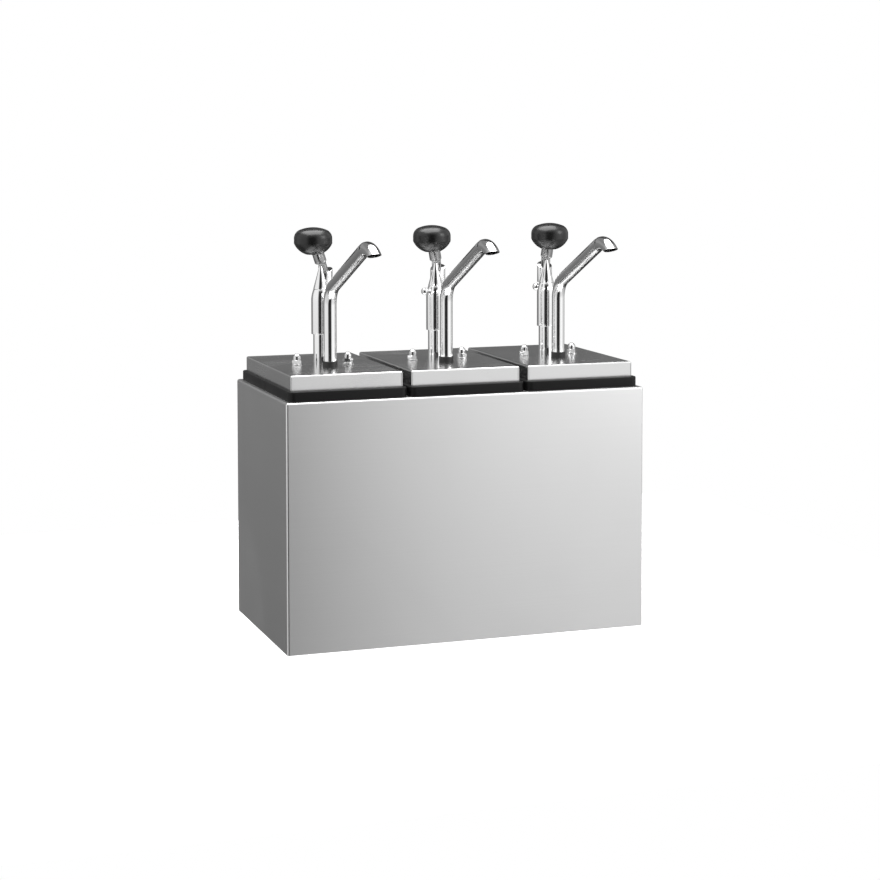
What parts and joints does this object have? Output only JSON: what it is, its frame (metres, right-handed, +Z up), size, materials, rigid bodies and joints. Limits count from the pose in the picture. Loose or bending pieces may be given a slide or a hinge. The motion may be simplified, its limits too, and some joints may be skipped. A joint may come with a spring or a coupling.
{
  "type": "sauce dispenser",
  "caption": "Countertop sauce dispenser: steel box with lift-out containers, each with a lidded pump, press knob and long spout.",
  "frame": {"origin": "centre of the housing's flat underside", "axes": "+Z up, -Y towards the side the spouts point to, +X to the right as seen from there"},
  "size_m": [0.4, 0.2916, 0.4365],
  "materials": {
    "brushed_sheet": "fine brushed",
    "polished_tube": "polished",
    "polished_fitting": "polished",
    "pump_steel": "satin",
    "spring_steel": "drawn wire",
    "rim_plastic": "fine grain",
    "knob_plastic": "glossy",
    "gland_rubber": "smooth",
    "valve_plastic": "smooth"
  },
  "bodies": {
    "stand": {"housing": "brushed_sheet", "base_plate": "brushed_sheet", "cross_rails": "brushed_sheet"},
    "container_unit_1": {"container_1": "rim_plastic"},
    "lid_unit_1": {"lid_1": "brushed_sheet", "guide_tube_1": "polished_tube", "gland_bush_1": "gland_rubber", "cap_nuts_1": "polished_fitting", "pump_barrel_1": "pump_steel", "valve_body_1": "pump_steel", "spout_tube_1": "polished_tube", "spout_nozzle_1": "polished_tube", "return_spring_1": "spring_steel"},
    "plunger_1": {"piston_rod_1": "pump_steel", "piston_seal_1": "gland_rubber", "sleeve_1": "polished_tube"},
    "head_1": {"nose_1": "polished_fitting", "neck_1": "polished_fitting", "knob_1": "knob_plastic"},
    "pin_1": {"release_pin_1": "polished_fitting"},
    "inlet_valve_1": {"inlet_ball_1": "valve_plastic"},
    "outlet_valve_1": {"outlet_ball_1": "valve_plastic"},
    "container_unit_2": {"container_2": "rim_plastic"},
    "lid_unit_2": {"lid_2": "brushed_sheet", "guide_tube_2": "polished_tube", "gland_bush_2": "gland_rubber", "cap_nuts_2": "polished_fitting", "pump_barrel_2": "pump_steel", "valve_body_2": "pump_steel", "spout_tube_2": "polished_tube", "spout_nozzle_2": "polished_tube", "return_spring_2": "spring_steel"},
    "plunger_2": {"piston_rod_2": "pump_steel", "piston_seal_2": "gland_rubber", "sleeve_2": "polished_tube"},
    "head_2": {"nose_2": "polished_fitting", "neck_2": "polished_fitting", "knob_2": "knob_plastic"},
    "pin_2": {"release_pin_2": "polished_fitting"},
    "inlet_valve_2": {"inlet_ball_2": "valve_plastic"},
    "outlet_valve_2": {"outlet_ball_2": "valve_plastic"},
    "container_unit_3": {"container_3": "rim_plastic"},
    "lid_unit_3": {"lid_3": "brushed_sheet", "guide_tube_3": "polished_tube", "gland_bush_3": "gland_rubber", "cap_nuts_3": "polished_fitting", "pump_barrel_3": "pump_steel", "valve_body_3": "pump_steel", "spout_tube_3": "polished_tube", "spout_nozzle_3": "polished_tube", "return_spring_3": "spring_steel"},
    "plunger_3": {"piston_rod_3": "pump_steel", "piston_seal_3": "gland_rubber", "sleeve_3": "polished_tube"},
    "head_3": {"nose_3": "polished_fitting", "neck_3": "polished_fitting", "knob_3": "knob_plastic"},
    "pin_3": {"release_pin_3": "polished_fitting"},
    "inlet_valve_3": {"inlet_ball_3": "valve_plastic"},
    "outlet_valve_3": {"outlet_ball_3": "valve_plastic"}
  },
  "joints": [
    {"name": "container_lift_1", "type": "slide", "parent": "stand", "child": "container_unit_1", "axis": [0, 0, 1], "range_m": [0, 0.27]},
    {"name": "lid_lift_1", "type": "slide", "parent": "container_unit_1", "child": "lid_unit_1", "axis": [0, 0, 1], "range_m": [0, 0.27]},
    {"name": "plunger_press_1", "type": "slide", "parent": "lid_unit_1", "child": "plunger_1", "axis": [0, 0, -1], "range_m": [0, 0.026], "stiffness_N_per_m": 400, "springref_m": -0.035, "deforming": ["return_spring_1"]},
    {"name": "head_turn_1", "type": "hinge", "parent": "plunger_1", "child": "head_1", "pos_m": [-0.1312, 0.0035, 0.369], "axis": [0, 0, 1], "continuous": true},
    {"name": "pin_pull_1", "type": "slide", "parent": "plunger_1", "child": "pin_1", "axis": [0.1736, 0.9848, 0], "range_m": [0, 0.004]},
    {"name": "inlet_valve_lift_1", "type": "slide", "parent": "lid_unit_1", "child": "inlet_valve_1", "axis": [0, 0, 1], "range_m": [0, 0.003]},
    {"name": "outlet_valve_lift_1", "type": "slide", "parent": "lid_unit_1", "child": "outlet_valve_1", "axis": [0, 0, 1], "range_m": [0, 0.003]},
    {"name": "container_lift_2", "type": "slide", "parent": "stand", "child": "container_unit_2", "axis": [0, 0, 1], "range_m": [0, 0.27]},
    {"name": "lid_lift_2", "type": "slide", "parent": "container_unit_2", "child": "lid_unit_2", "axis": [0, 0, 1], "range_m": [0, 0.27]},
    {"name": "plunger_press_2", "type": "slide", "parent": "lid_unit_2", "child": "plunger_2", "axis": [0, 0, -1], "range_m": [0, 0.026], "stiffness_N_per_m": 400, "springref_m": -0.035, "deforming": ["return_spring_2"]},
    {"name": "head_turn_2", "type": "hinge", "parent": "plunger_2", "child": "head_2", "pos_m": [0, 0.0035, 0.369], "axis": [0, 0, 1], "continuous": true},
    {"name": "pin_pull_2", "type": "slide", "parent": "plunger_2", "child": "pin_2", "axis": [-0.9563, -0.2924, 0], "range_m": [0, 0.004]},
    {"name": "inlet_valve_lift_2", "type": "slide", "parent": "lid_unit_2", "child": "inlet_valve_2", "axis": [0, 0, 1], "range_m": [0, 0.003]},
    {"name": "outlet_valve_lift_2", "type": "slide", "parent": "lid_unit_2", "child": "outlet_valve_2", "axis": [0, 0, 1], "range_m": [0, 0.003]},
    {"name": "container_lift_3", "type": "slide", "parent": "stand", "child": "container_unit_3", "axis": [0, 0, 1], "range_m": [0, 0.27]},
    {"name": "lid_lift_3", "type": "slide", "parent": "container_unit_3", "child": "lid_unit_3", "axis": [0, 0, 1], "range_m": [0, 0.27]},
    {"name": "plunger_press_3", "type": "slide", "parent": "lid_unit_3", "child": "plunger_3", "axis": [0, 0, -1], "range_m": [0, 0.026], "stiffness_N_per_m": 400, "springref_m": -0.035, "deforming": ["return_spring_3"]},
    {"name": "head_turn_3", "type": "hinge", "parent": "plunger_3", "child": "head_3", "pos_m": [0.1312, 0.0035, 0.369], "axis": [0, 0, 1], "continuous": true},
    {"name": "pin_pull_3", "type": "slide", "parent": "plunger_3", "child": "pin_3", "axis": [-0.4848, 0.8746, 0], "range_m": [0, 0.004]},
    {"name": "inlet_valve_lift_3", "type": "slide", "parent": "lid_unit_3", "child": "inlet_valve_3", "axis": [0, 0, 1], "range_m": [0, 0.003]},
    {"name": "outlet_valve_lift_3", "type": "slide", "parent": "lid_unit_3", "child": "outlet_valve_3", "axis": [0, 0, 1], "range_m": [0, 0.003]}
  ]
}
